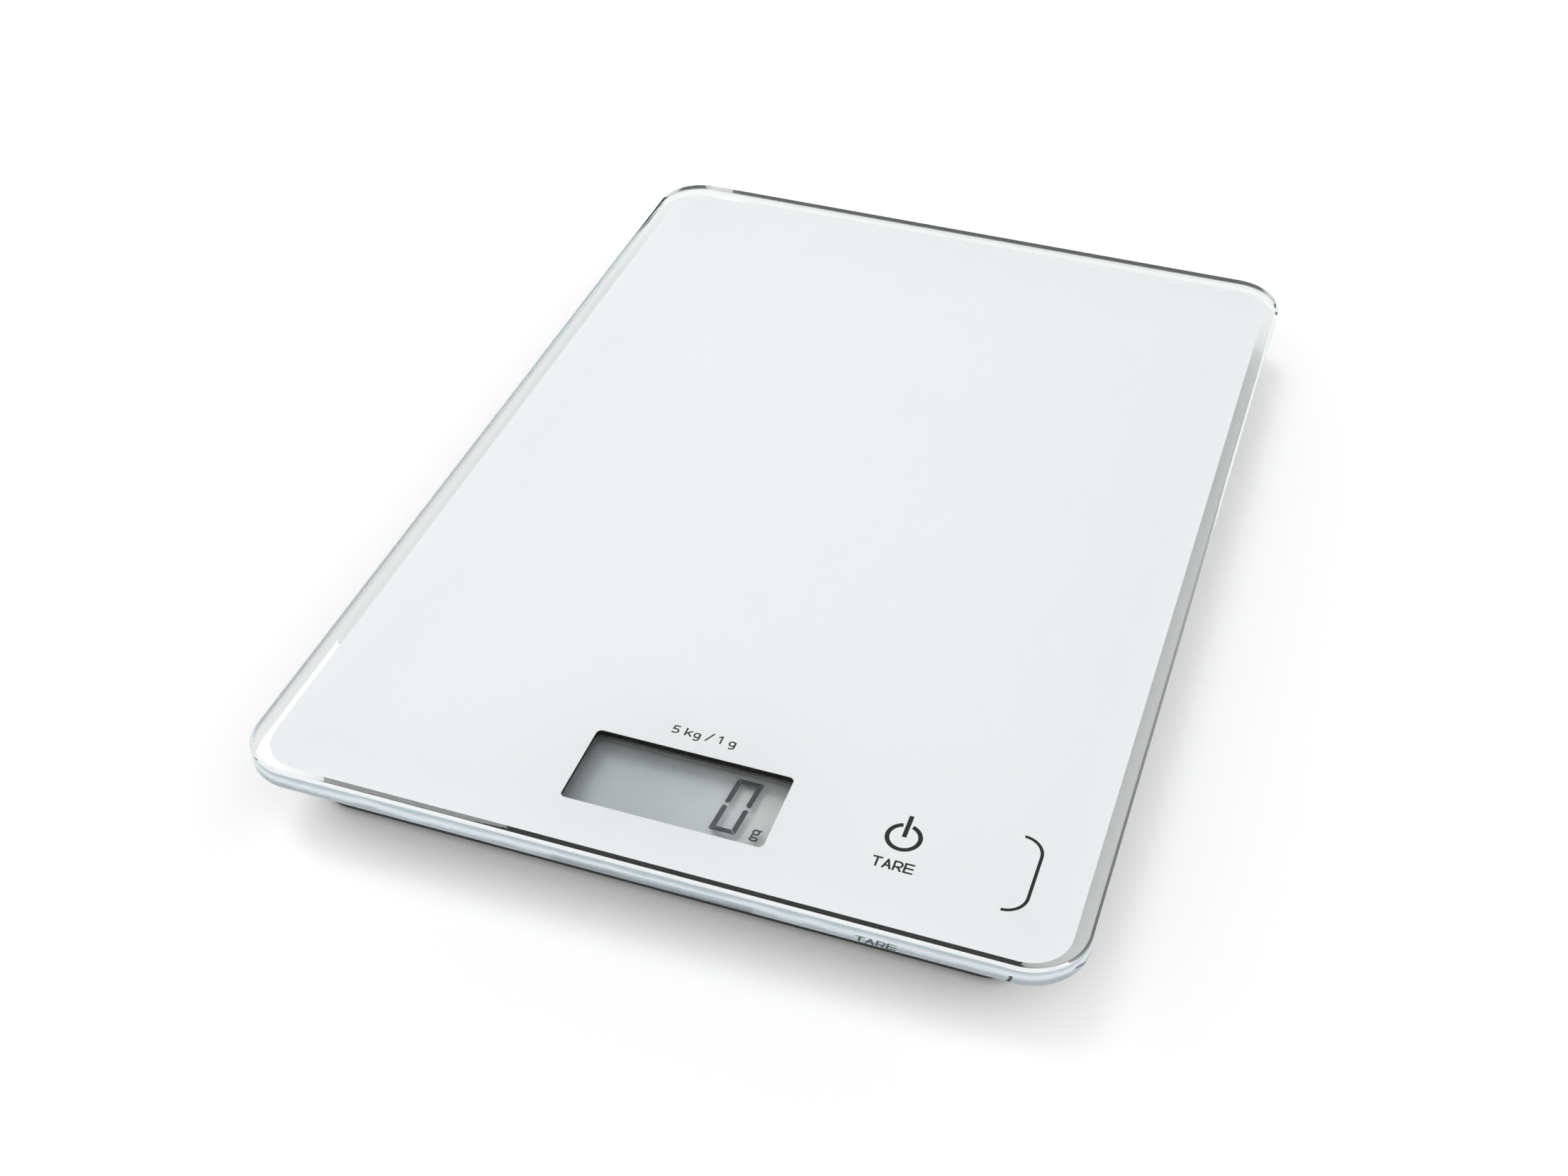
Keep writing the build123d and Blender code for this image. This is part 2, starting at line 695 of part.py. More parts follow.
def touch_electrode():
    """Copper foil under the touch mark with its tail folded down to the board."""
    foil = disc(TOUCH_X, TOUCH_Y, TOUCH_R, PRINT_Z - FOIL_T, PRINT_Z)
    tail_x = 25.2
    strip = block(tail_x, TOUCH_X - TOUCH_R + 0.5, TOUCH_Y - 1.5, TOUCH_Y + 1.5, PRINT_Z - FOIL_T, PRINT_Z)
    drop = block(tail_x, tail_x + FOIL_T, TOUCH_Y - 1.5, TOUCH_Y + 1.5, BOARD_TOP, PRINT_Z)
    return foil + strip + drop


# ---------------------------------------------------------------- unit button


def tact_switch():
    """Low push switch under the board, with the bore that its plunger slides in."""
    body = block(BUTTON_X - 2.2, BUTTON_X + 2.2, BUTTON_Y - 2.2, BUTTON_Y + 2.2, BOARD_Z - 1.0, BOARD_Z)
    return body - disc(BUTTON_X, BUTTON_Y, PLUNGER_R + 0.1, BOARD_Z - 2, PLUNGER_TOP + BUTTON_TRAVEL + 0.05)


def switch_plunger():
    return disc(BUTTON_X, BUTTON_Y, PLUNGER_R, PLUNGER_Z, PLUNGER_TOP)


def unit_button():
    """Round key in the floor with a flange inside that keeps it from falling out."""
    stem = disc(BUTTON_X, BUTTON_Y, BUTTON_R, BASE_Z + 0.1, BASE_Z + 1.5)
    stem = fillet(edges_at(stem, BASE_Z + 0.1), 0.3)
    flange = disc(BUTTON_X, BUTTON_Y, BUTTON_R + 0.9, BASE_Z + 1.05, BASE_Z + 1.55)
    nub = disc(BUTTON_X, BUTTON_Y, 1.2, BASE_Z + 1.4, PLUNGER_Z)
    return stem + flange + nub


# ---------------------------------------------------------------- battery bay


def battery_cell():
    """Coin cell: a wide can with a smaller cap on top."""
    can = disc(0, COIN_Y, COIN_R, COIN_Z, COIN_TOP - 0.35)
    can = fillet(edges_at(can, COIN_Z), 0.4)
    cap = disc(0, COIN_Y, COIN_R - 1.3, COIN_TOP - 0.45, COIN_TOP)
    return can + fillet(edges_at(cap, COIN_TOP), 0.15)


def contact_negative():
    """Leaf spring under the roof of the bay that presses on the cell's cap."""
    t = 0.25
    top = COIN_ROOF_Z - t / 2
    pressed = COIN_TOP + t / 2
    y = COIN_Y
    far = COIN_WELL_R + COIN_WALL + 2.2
    leaf = [(y - 5.5, pressed), (y - 3.0, pressed), (y + 4, top), (y + far, top)]
    return Pos(-2, 0, 0) * extrude(Plane.YZ * pen_line(leaf, t), 4)


def contact_positive():
    """Bowed strip in the side slot that bears on the cell's rim."""
    t = 0.25
    x0 = COIN_WELL_R + COIN_WALL + 0.6
    bow = COIN_R + 0.03 + t / 2
    points = [(x0, COIN_Y - 4.6), (bow, COIN_Y - 1.0), (bow, COIN_Y + 1.0), (x0, COIN_Y + 4.6)]
    return plan(pen_line(points, t), COIN_Z + 0.2, COIN_TOP - 0.5)


def battery_door():
    """Hatch that swings on two pins, with a latch finger, grip ribs and inner ribs."""
    half_w = DOOR_W / 2 - DOOR_GAP
    free = DOOR_FREE_Y + DOOR_GAP
    door = block(-half_w, half_w, free, HINGE_Y, BASE_Z, BASE_Z + DOOR_T)
    door += Pos(0, HINGE_Y, HINGE_Z) * Rot(0, 90, 0) * Cylinder(DOOR_T / 2, 2 * half_w)
    pin_length = 2 * (DOOR_W / 2 + HINGE_PIN_LENGTH - 0.15)
    door += Pos(0, HINGE_Y, HINGE_Z) * Rot(0, 90, 0) * Cylinder(HINGE_PIN_R, pin_length)
    for x in (-6, 0, 6):
        door += block(x - 0.5, x + 0.5, COIN_Y - 6, COIN_Y + 6, BASE_Z + DOOR_T - 0.2, COIN_Z)
    for side in (-1, 1):
        x0, x1 = sorted((side * 4.0, side * 4.6))
        door -= block(x0, x1, free - 1, free + 4.2, BASE_Z - 1, BASE_Z + DOOR_T + 1)
    door -= block(-4.0, 4.0, free + 3.4, free + 4.2, BASE_Z + 0.6, BASE_Z + DOOR_T + 1)
    for i in range(4):
        y = free + 6.0 + 1.2 * i
        door -= block(-4.5, 4.5, y - 0.3, y + 0.3, BASE_Z - 1, BASE_Z + 0.25)
    return door


# ---------------------------------------------------------------- wires


def cell_route(sx, sy, lane):
    """Route of one wire from a cell to the board; lane 0, 1 or 2 keeps three wires side by side."""
    side = (lane - 1) * WIRE_PITCH
    start_x = sx * (CELL_X - 7.5)
    y = sy * CELL_Y + 5.0 + side
    z = CELL_TOP + 0.5
    pad_z = BOARD_TOP + WIRE_R + 0.05
    if sy < 0:
        return [(start_x, y, z), (sx * 29.4, y, z), (sx * 28.4, y, pad_z), (sx * 25.0, y, pad_z)]
    lane_x = sx * (LANE_X + side)
    return [
        (start_x, y, z),
        (lane_x, y, z),
        (lane_x, y, LANE_Z),
        (lane_x, BOARD_FAR + 2.4, LANE_Z),
        (lane_x, BOARD_FAR + 2.4, pad_z),
        (lane_x, BOARD_FAR - 2.0, pad_z),
    ]


def cell_wires(lane):
    bends = {-1: 0.3, 1: WIRE_BEND}
    return [wire(cell_route(sx, sy, lane), bend=bends[sy]) for sx, sy in CORNERS.values()]


def battery_wires():
    """Positive and negative leads from the contacts to the board."""
    pad_z = BOARD_TOP + WIRE_R + 0.05
    edge = BOARD_FAR + 2.4
    end = BOARD_FAR - 2.0
    plus_x = COIN_WELL_R + COIN_WALL + 1.4
    low = 5.2
    plus = [(plus_x, COIN_Y - 2, low), (plus_x, edge, low), (plus_x, edge, pad_z), (plus_x, end, pad_z)]
    minus_y = COIN_Y + COIN_WELL_R + COIN_WALL + 3
    minus_z = COIN_ROOF_Z - 0.7
    minus = [(0, minus_y, minus_z), (-14.4, minus_y, minus_z), (-14.4, edge, minus_z), (-14.4, end, pad_z)]
    return wire(plus, bend=0.3), wire(minus)


def export_all():
    os.makedirs("parts", exist_ok=True)
    marks = control_marks()
    plus_lead, minus_lead = battery_wires()
    nodes = {
        "glass_plate": glass_plate(),
        "glass_print_white": glass_print(marks),
        "control_marks": marks,
        "bonding_tape": bonding_tape(),
        "base_housing": base_housing(),
        "rating_label": rating_label(),
        "strain_gauges": strain_gauges(),
        "cell_clips": cell_clips(),
        "lcd_reflector": lcd_reflector(),
        "lcd_rear_glass": lcd_rear_glass(),
        "lcd_seal": lcd_seal(),
        "lcd_segments": lcd_segments(),
        "lcd_front_glass": lcd_front_glass(),
        "lcd_polariser": lcd_polariser(),
        "lcd_frame": lcd_frame(),
        "zebra_strip": zebra_strip(),
        "window_gasket": window_gasket(),
        "circuit_board": circuit_board(),
        "board_screws": board_screws(),
        "controller_chip": controller_chip(),
        "amplifier_chip": amplifier_chip(),
        "chip_capacitors": chip_capacitors(),
        "crystal": crystal(),
        "touch_electrode": touch_electrode(),
        "tact_switch": tact_switch(),
        "switch_plunger": switch_plunger(),
        "unit_button": unit_button(),
        "battery_cell": battery_cell(),
        "contact_negative": contact_negative(),
        "contact_positive": contact_positive(),
        "battery_door": battery_door(),
        "wires_red": Compound(cell_wires(0) + [plus_lead]),
        "wires_white": Compound(cell_wires(1)),
        "wires_black": Compound(cell_wires(2) + [minus_lead]),
    }
    for corner, (sx, sy) in CORNERS.items():
        nodes["load_cell_" + corner] = load_cell(sx, sy)
        nodes["foot_" + corner] = foot(sx, sy)
        nodes["foot_pad_" + corner] = foot_pad(sx, sy)
    for name, shape in nodes.items():
        export_step(shape, f"parts/{name}.step")


export_all()
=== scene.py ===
"""Slim digital kitchen scale: glass platform, finishes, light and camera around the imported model.

Everything is in metres, in the model's own frame: +Z up, display towards -Y.
"""

import json
from math import cos, pi, radians, sin

import bmesh
import bpy
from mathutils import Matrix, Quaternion, Vector


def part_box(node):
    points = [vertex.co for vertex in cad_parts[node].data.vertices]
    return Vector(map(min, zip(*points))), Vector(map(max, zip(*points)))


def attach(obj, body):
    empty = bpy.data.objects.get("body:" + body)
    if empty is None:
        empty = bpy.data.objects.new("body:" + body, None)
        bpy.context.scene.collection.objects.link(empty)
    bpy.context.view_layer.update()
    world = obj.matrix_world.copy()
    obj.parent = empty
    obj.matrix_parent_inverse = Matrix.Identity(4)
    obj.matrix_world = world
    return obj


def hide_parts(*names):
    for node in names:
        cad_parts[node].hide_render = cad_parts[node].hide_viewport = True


MM = 0.001

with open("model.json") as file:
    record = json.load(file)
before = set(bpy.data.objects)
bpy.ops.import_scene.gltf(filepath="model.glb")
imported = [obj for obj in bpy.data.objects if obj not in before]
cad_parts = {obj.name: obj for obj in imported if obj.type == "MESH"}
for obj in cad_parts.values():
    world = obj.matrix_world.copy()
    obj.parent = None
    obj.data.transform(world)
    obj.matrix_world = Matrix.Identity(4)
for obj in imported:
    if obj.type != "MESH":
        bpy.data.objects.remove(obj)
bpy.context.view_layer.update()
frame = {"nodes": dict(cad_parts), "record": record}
nodes = frame["nodes"]


# ---------------------------------------------------------------- finishes


class Finish:
    """A procedural material: one Principled shader, and short calls for the nodes that feed it."""

    def __init__(self, name, colour, roughness, metallic=0.0, specular=0.5):
        self.material = bpy.data.materials.new(name)
        self.material.use_nodes = True
        self.tree = self.material.node_tree
        self.shader = self.tree.nodes["Principled BSDF"]
        self.output = self.tree.nodes["Material Output"]
        self.set("Base Color", (*colour, 1.0))
        self.set("Roughness", roughness)
        self.set("Metallic", metallic)
        self.set("Specular IOR Level", specular)
        self.place = self.add("ShaderNodeTexCoord").outputs["Object"]

    def set(self, socket, value):
        self.shader.inputs[socket].default_value = value

    def add(self, kind, **settings):
        node = self.tree.nodes.new(kind)
        for key, value in settings.items():
            setattr(node, key, value)
        return node

    def link(self, source, target):
        self.tree.links.new(source, target)

    def feed(self, source, socket):
        self.link(source, self.shader.inputs[socket])

    def stretched(self, stretch):
        """Object coordinates scaled along each axis, so that a pattern runs along one of them."""
        mapping = self.add("ShaderNodeMapping")
        mapping.inputs["Scale"].default_value = stretch
        self.link(self.place, mapping.inputs["Vector"])
        return mapping.outputs["Vector"]

    def noise(self, grain, detail=2.0, stretch=None):
        """Cloudy noise whose features are about grain metres across."""
        node = self.add("ShaderNodeTexNoise")
        node.inputs["Scale"].default_value = 1.0 / grain
        node.inputs["Detail"].default_value = detail
        self.link(self.stretched(stretch) if stretch else self.place, node.inputs["Vector"])
        return node.outputs["Fac"]

    def cells(self, grain, feature="F1"):
        """Cell pattern with cells about grain metres across."""
        node = self.add("ShaderNodeTexVoronoi", feature=feature)
        node.inputs["Scale"].default_value = 1.0 / grain
        self.link(self.place, node.inputs["Vector"])
        return node.outputs["Distance"]

    def spread(self, source, low, high, start=0.3, end=0.7, smooth=False):
        """A value between low and high as source goes from start to end."""
        node = self.add("ShaderNodeMapRange")
        node.interpolation_type = "SMOOTHSTEP" if smooth else "LINEAR"
        for socket, value in (("From Min", start), ("From Max", end), ("To Min", low), ("To Max", high)):
            node.inputs[socket].default_value = value
        self.link(source, node.inputs["Value"])
        return node.outputs["Result"]

    def split(self, vector):
        """The X, Y and Z of a vector, as sockets found by those names."""
        parts = self.add("ShaderNodeSeparateXYZ")
        self.link(vector, parts.inputs["Vector"])
        return parts.outputs

    def maths(self, operation, *values):
        """Result of a maths node; each value is a plain number or a socket."""
        node = self.add("ShaderNodeMath", operation=operation)
        for socket, value in zip(node.inputs, values):
            if isinstance(value, (int, float)):
                socket.default_value = value
            else:
                self.link(value, socket)
        return node.outputs["Value"]

    def blend(self, factor, first, second):
        """A colour between two others; each is a plain colour or a socket."""
        node = self.add("ShaderNodeMix", data_type="RGBA")
        self.link(factor, node.inputs["Factor"])
        for name, value in (("A", first), ("B", second)):
            socket = [s for s in node.inputs if s.name == name and s.type == "RGBA"][0]
            if isinstance(value, tuple):
                socket.default_value = (*value, 1.0)
            else:
                self.link(value, socket)
        return [s for s in node.outputs if s.type == "RGBA"][0]

    def bump(self, source, height, after=None):
        """Raises the surface by up to height metres where source is high."""
        node = self.add("ShaderNodeBump")
        node.inputs["Distance"].default_value = height
        self.link(source, node.inputs["Height"])
        if after is not None:
            self.link(after, node.inputs["Normal"])
        self.feed(node.outputs["Normal"], "Normal")
        return node.outputs["Normal"]

    def see_through(self, tint):
        """A shader that lets rays pass straight on, tinted."""
        node = self.add("ShaderNodeBsdfTransparent")
        node.inputs["Color"].default_value = (*tint, 1.0)
        return node.outputs["BSDF"]

    def mix_surface(self, factor, first, second):
        """Makes the surface go from the first shader to the second as factor goes from 0 to 1."""
        mix = self.add("ShaderNodeMixShader")
        self.link(factor, mix.inputs["Fac"])
        self.link(first, mix.inputs[1])
        self.link(second, mix.inputs[2])
        self.link(mix.outputs["Shader"], self.output.inputs["Surface"])


def shade(colour, factor):
    return tuple(min(c * factor, 1.0) for c in colour)


def moulded(name, colour, roughness=0.45, grain=0.25 * MM, height=0.012 * MM):
    """Injection-moulded plastic: spark-eroded grain, faint flow marks, patchy sheen."""
    f = Finish(name, colour, roughness)
    flow = f.noise(9 * MM, 3.0)
    f.feed(f.blend(f.spread(flow, 0, 1), shade(colour, 0.86), shade(colour, 1.14)), "Base Color")
    f.feed(f.spread(f.noise(3 * MM, 4.0), roughness - 0.05, roughness + 0.07), "Roughness")
    fine = f.bump(f.noise(grain, 3.0), height)
    f.bump(f.cells(grain * 2.2), height * 0.6, after=fine)
    return f


def metal(name, colour, roughness=0.3, run=(1.0, 12.0, 12.0), grain=0.6 * MM, height=0.002 * MM):
    """Sheet or drawn metal: fine lines along one axis, dull patches, faint tint changes."""
    f = Finish(name, colour, roughness, metallic=1.0)
    lines = f.noise(grain, 4.0, run)
    tint = f.noise(6 * MM, 2.0)
    f.feed(f.blend(f.spread(tint, 0, 1), shade(colour, 0.88), shade(colour, 1.06)), "Base Color")
    f.feed(f.spread(lines, roughness - 0.08, roughness + 0.14), "Roughness")
    f.bump(lines, height)
    return f


def rubber(name, colour, roughness=0.7, grain=0.35 * MM, height=0.012 * MM):
    """Moulded rubber: matt, with bloom and a soft pebble."""
    f = Finish(name, colour, roughness, specular=0.35)
    bloom = f.noise(5 * MM, 3.0)
    f.feed(f.blend(f.spread(bloom, 0, 1), colour, shade(colour, 1.5)), "Base Color")
    f.feed(f.spread(bloom, roughness, roughness + 0.15), "Roughness")
    f.bump(f.cells(grain), height)
    return f


def foam(name, colour, cell=0.22 * MM, height=0.05 * MM):
    """Closed-cell foam tape: small open pores on its cut sides, darkened with painted shade."""
    f = Finish(name, colour, 0.9, specular=0.2)
    pores = f.cells(cell)
    # The pores' darker colour is painted shade in the pits.
    f.feed(f.blend(f.spread(pores, 0, 1, 0.1, 0.6), shade(colour, 0.7), colour), "Base Color")
    f.bump(pores, height)
    return f


def ceramic(name, colour, grain=0.1 * MM):
    """Fired ceramic body with fine specks."""
    f = Finish(name, colour, 0.5)
    specks = f.noise(grain, 3.0)
    f.feed(f.blend(f.spread(specks, 0, 1), shade(colour, 0.8), shade(colour, 1.2)), "Base Color")
    f.feed(f.spread(specks, 0.42, 0.6), "Roughness")
    f.bump(specks, 0.004 * MM)
    return f


def insulation(name, colour):
    """Smooth PVC wire insulation with slight handling marks."""
    f = Finish(name, colour, 0.32)
    marks = f.noise(1.5 * MM, 3.0)
    f.feed(f.blend(f.spread(marks, 0, 1), shade(colour, 0.85), shade(colour, 1.1)), "Base Color")
    f.feed(f.spread(marks, 0.26, 0.4), "Roughness")
    f.bump(f.noise(0.3 * MM), 0.003 * MM)
    return f


def clear_pane(name, tint, haze=0.02, sheen=0.03):
    """Thin clear sheet: sight and light pass straight through, and it mirrors a little at a slant."""
    f = Finish(name, tint, haze)
    mirror = f.add("ShaderNodeBsdfGlossy")
    f.link(f.spread(f.noise(0.4 * MM), haze, haze * 1.6), mirror.inputs["Roughness"])
    slant = f.add("ShaderNodeLayerWeight").outputs["Facing"]
    mirrored = f.spread(slant, sheen * 0.5, sheen * 2, 0.2, 1.0)
    f.mix_surface(mirrored, f.see_through(tint), mirror.outputs["BSDF"])
    f.tree.nodes.remove(f.shader)
    return f


GLASS_IOR = 1.52
GROUND_ROUGHNESS = 0.05
GROUND_RELIEF = 0.007 * MM
GRIND_SHARE = 0.12
DEPTH_TINT = (0.55, 0.84, 0.92)
DEPTH_DENSITY = 9.0
LAMP_TINT = (0.97, 0.975, 0.975)


def platform_glass():
    """Polished float glass with a blue-green depth tint; the ground sides are a little wavy and carry
    painted shade and reflection bands in their colour.
    """
    f = Finish("glass_clear", (1.0, 1.0, 1.0), 0.0)
    f.set("IOR", GLASS_IOR)
    f.set("Transmission Weight", 1.0)
    normal = f.add("ShaderNodeNewGeometry").outputs["Normal"]
    levelness = f.maths("ABSOLUTE", f.split(normal)["Z"])
    ground = f.spread(levelness, 1.0, 0.0, 0.8, 0.95)
    side = f.spread(levelness, 1.0, 0.0, 0.3, 0.6)
    f.feed(f.maths("MULTIPLY", ground, GROUND_ROUGHNESS), "Roughness")
    # The sides' base colour carries painted shade and reflection bands.
    f.feed(side_painted_shade(f, side), "Base Color")
    waves = f.noise(2.5 * MM, 2.0)
    lines = f.noise(0.5 * MM, 2.0, (1.0, 1.0, 6.0))
    relief = f.maths("ADD", waves, f.maths("MULTIPLY", lines, GRIND_SHARE))
    f.bump(f.maths("MULTIPLY", relief, ground), GROUND_RELIEF)
    depth = f.add("ShaderNodeVolumeAbsorption")
    depth.inputs["Color"].default_value = (*DEPTH_TINT, 1.0)
    depth.inputs["Density"].default_value = DEPTH_DENSITY
    f.link(depth.outputs["Volume"], f.output.inputs["Volume"])
    let_light_in(f, LAMP_TINT)
    return f


# The sides' painted shade and reflection colours, and where the painted pale band between the dark ones
# starts, is full, fades and ends.
SIDE_SHADE_LOW = (0.19, 0.23, 0.26)
SIDE_PAINTED_PALE = (0.64, 0.69, 0.74)
SIDE_SHADE_HIGH = (0.26, 0.34, 0.39)
PALE_START = 1.1 * MM
PALE_FULL = 1.9 * MM
PALE_FADE = 2.3 * MM
PALE_END = 3.1 * MM
PALE_WANDER = 0.35 * MM


def side_painted_shade(f, side):
    """Painted shade and reflection on the thick blue-green sides: dark at the top and the bottom, paler
    between them.
    """
    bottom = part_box("glass_plate")[0].z
    patches = f.noise(7 * MM, 2.0, (1.0, 1.0, 0.3))
    wander = f.spread(patches, -PALE_WANDER, PALE_WANDER, 0.25, 0.75)
    level = f.maths("ADD", f.split(f.place)["Z"], wander)
    above_low = f.spread(level, 0.0, 1.0, bottom + PALE_START, bottom + PALE_FULL, smooth=True)
    below_high = f.spread(level, 1.0, 0.0, bottom + PALE_FADE, bottom + PALE_END, smooth=True)
    whole = f.blend(below_high, SIDE_SHADE_HIGH, f.blend(above_low, SIDE_SHADE_LOW, SIDE_PAINTED_PALE))
    return f.blend(side, (1.0, 1.0, 1.0), whole)


def let_light_in(f, tint):
    """Lets rays from the lamps pass straight through this glass, so that what lies under it is lit."""
    from_lamp = f.add("ShaderNodeLightPath").outputs["Is Shadow Ray"]
    f.mix_surface(from_lamp, f.shader.outputs["BSDF"], f.see_through(tint))


def enamel_white():
    """White enamel under the glass, with painted light making it a shade brighter near its edges, where
    the glass feeds light in.
    """
    middle = (0.972, 0.952, 0.947)
    # rim is the painted light colour near the enamel's edges.
    rim = (0.998, 0.988, 0.985)
    glow = 13 * MM
    corner_blend = 6 * MM
    wander = 1.2 * MM
    f = Finish("enamel_white", middle, 0.55)
    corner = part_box("glass_print_white")[1]
    place = f.split(f.place)
    gaps = []
    for axis, half in (("X", corner.x), ("Y", corner.y)):
        gaps.append(f.maths("SUBTRACT", half, f.maths("ABSOLUTE", place[axis])))
    inwards = f.maths("SMOOTH_MIN", *gaps, corner_blend)
    mottle = f.spread(f.noise(22 * MM, 2.0), -wander, wander)
    share = f.spread(f.maths("ADD", inwards, mottle), 1.0, 0.0, 0.0, glow, smooth=True)
    f.feed(f.blend(share, middle, rim), "Base Color")
    f.feed(f.spread(f.noise(0.5 * MM, 3.0), 0.5, 0.62), "Roughness")
    f.bump(f.noise(0.2 * MM, 2.0), 0.0015 * MM)
    return f


def ink_black():
    """Screen-printed ink: deep black with pinholes of the mesh."""
    f = Finish("ink_black", (0.006, 0.006, 0.007), 0.5)
    mesh = f.noise(0.12 * MM, 2.0)
    f.feed(f.blend(f.spread(mesh, 0, 1), (0.004, 0.004, 0.005), (0.010, 0.010, 0.011)), "Base Color")
    f.feed(f.spread(mesh, 0.42, 0.58), "Roughness")
    return f


def reflector_grey():
    """Matt foil behind the liquid crystal: fine sparkle, and painted light making it lighter to the
    right.
    """
    left = (0.62, 0.64, 0.645)
    # right is the painted light colour towards the foil's right side.
    right = (0.86, 0.86, 0.85)
    f = Finish("reflector_grey", left, 0.6)
    low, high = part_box("lcd_reflector")
    across = f.split(f.place)["X"]
    share = f.spread(across, 0.0, 1.0, low.x * 0.5, high.x * 0.95, smooth=True)
    speck = f.spread(f.noise(0.16 * MM, 2.0), -0.12, 0.12)
    f.feed(f.blend(f.maths("ADD", share, speck), left, right), "Base Color")
    f.feed(f.spread(f.noise(0.1 * MM), 0.5, 0.7), "Roughness")
    f.bump(f.noise(0.1 * MM), 0.002 * MM)
    return f


def board_green():
    """Solder mask over copper: paler where tracks lie under it."""
    mask = (0.008, 0.085, 0.035)
    over_copper = (0.03, 0.20, 0.07)
    f = Finish("board_green", mask, 0.35)
    tracks = f.spread(f.cells(2.4 * MM, "DISTANCE_TO_EDGE"), 1.0, 0.0, 0.05, 0.09)
    f.feed(f.blend(tracks, mask, over_copper), "Base Color")
    f.feed(f.spread(f.noise(0.6 * MM, 3.0), 0.28, 0.42), "Roughness")
    f.bump(tracks, 0.02 * MM)
    return f


def zebra_rubber():
    """Connector rubber: thin dark and light layers across its length."""
    f = Finish("zebra_rubber", (0.5, 0.36, 0.34), 0.6)
    wave = f.add("ShaderNodeTexWave", bands_direction="X")
    wave.inputs["Scale"].default_value = 0.05 / (0.2 * MM)
    wave.inputs["Distortion"].default_value = 0.4
    f.link(f.place, wave.inputs["Vector"])
    f.feed(f.blend(wave.outputs["Fac"], (0.05, 0.045, 0.045), (0.62, 0.45, 0.42)), "Base Color")
    f.bump(f.noise(0.2 * MM), 0.006 * MM)
    return f


def gauge_foil():
    """Amber film with a fine metal grid."""
    f = Finish("gauge_foil", (0.5, 0.24, 0.04), 0.35)
    wave = f.add("ShaderNodeTexWave", bands_direction="Y")
    wave.inputs["Scale"].default_value = 0.05 / (0.25 * MM)
    f.link(f.place, wave.inputs["Vector"])
    lines = f.spread(wave.outputs["Fac"], 0.0, 1.0, 0.45, 0.55)
    f.feed(f.blend(lines, (0.5, 0.24, 0.04), (0.42, 0.40, 0.36)), "Base Color")
    f.feed(f.spread(lines, 0.3, 0.45), "Roughness")
    f.bump(lines, 0.005 * MM)
    return f


def label_silver():
    """Blank satin label with a fine brushed coat."""
    colour = (0.62, 0.63, 0.64)
    f = Finish("label_silver", colour, 0.35, metallic=0.7)
    lines = f.noise(0.5 * MM, 3.0, (1.0, 14.0, 1.0))
    f.feed(f.blend(f.spread(lines, 0, 1), shade(colour, 0.9), shade(colour, 1.05)), "Base Color")
    f.feed(f.spread(lines, 0.28, 0.45), "Roughness")
    f.bump(lines, 0.0015 * MM)
    return f


FINISHES = {
    "glass_clear": platform_glass,
    "enamel_white": enamel_white,
    "ink_black": ink_black,
    "reflector_grey": reflector_grey,
    "board_green": board_green,
    "zebra_rubber": zebra_rubber,
    "gauge_foil": gauge_foil,
    "label_silver": label_silver,
    "tape_foam": lambda: foam("tape_foam", (0.80, 0.80, 0.78)),
    "gasket_foam": lambda: foam("gasket_foam", (0.008, 0.008, 0.008), cell=0.15 * MM),
    "housing_black": lambda: moulded("housing_black", (0.012, 0.012, 0.0115)),
    "trim_black": lambda: moulded("trim_black", (0.018, 0.018, 0.018), 0.4, grain=0.18 * MM),
    "clip_grey": lambda: moulded("clip_grey", (0.30, 0.31, 0.32)),
    "frame_white": lambda: moulded("frame_white", (0.72, 0.72, 0.70), 0.4),
    "switch_black": lambda: moulded("switch_black", (0.02, 0.02, 0.02), 0.3, height=0.004 * MM),
    "plunger_white": lambda: moulded("plunger_white", (0.75, 0.75, 0.72), 0.3, height=0.004 * MM),
    "chip_black": lambda: moulded("chip_black", (0.016, 0.016, 0.018), 0.5, grain=0.1 * MM),
    "epoxy_black": lambda: moulded("epoxy_black", (0.008, 0.008, 0.008), 0.15, 0.8 * MM, 0.01 * MM),
    "seal_resin": lambda: moulded("seal_resin", (0.42, 0.42, 0.40), 0.3, height=0.003 * MM),
    "segment_dark": lambda: moulded("segment_dark", (0.055, 0.052, 0.062), 0.4, height=0.001 * MM),
    "capacitor_tan": lambda: ceramic("capacitor_tan", (0.40, 0.27, 0.16)),
    "screw_steel": lambda: metal("screw_steel", (0.55, 0.56, 0.57), 0.28),
    "can_steel": lambda: metal("can_steel", (0.62, 0.62, 0.62), 0.22),
    "coin_steel": lambda: metal("coin_steel", (0.64, 0.64, 0.63), 0.2, (1.0, 1.0, 1.0)),
    "contact_nickel": lambda: metal("contact_nickel", (0.66, 0.63, 0.57), 0.25),
    "cell_steel": lambda: metal("cell_steel", (0.50, 0.51, 0.52), 0.35),
    "copper_foil": lambda: metal("copper_foil", (0.72, 0.38, 0.20), 0.3),
    "pad_rubber": lambda: rubber("pad_rubber", (0.025, 0.025, 0.026)),
    "wire_red": lambda: insulation("wire_red", (0.45, 0.015, 0.012)),
    "wire_white": lambda: insulation("wire_white", (0.75, 0.75, 0.72)),
    "wire_black": lambda: insulation("wire_black", (0.012, 0.012, 0.012)),
    "display_glass": lambda: clear_pane("display_glass", (0.995, 0.997, 0.997)),
    "polariser_film": lambda: clear_pane("polariser_film", (0.98, 0.98, 0.98), haze=0.25),
}


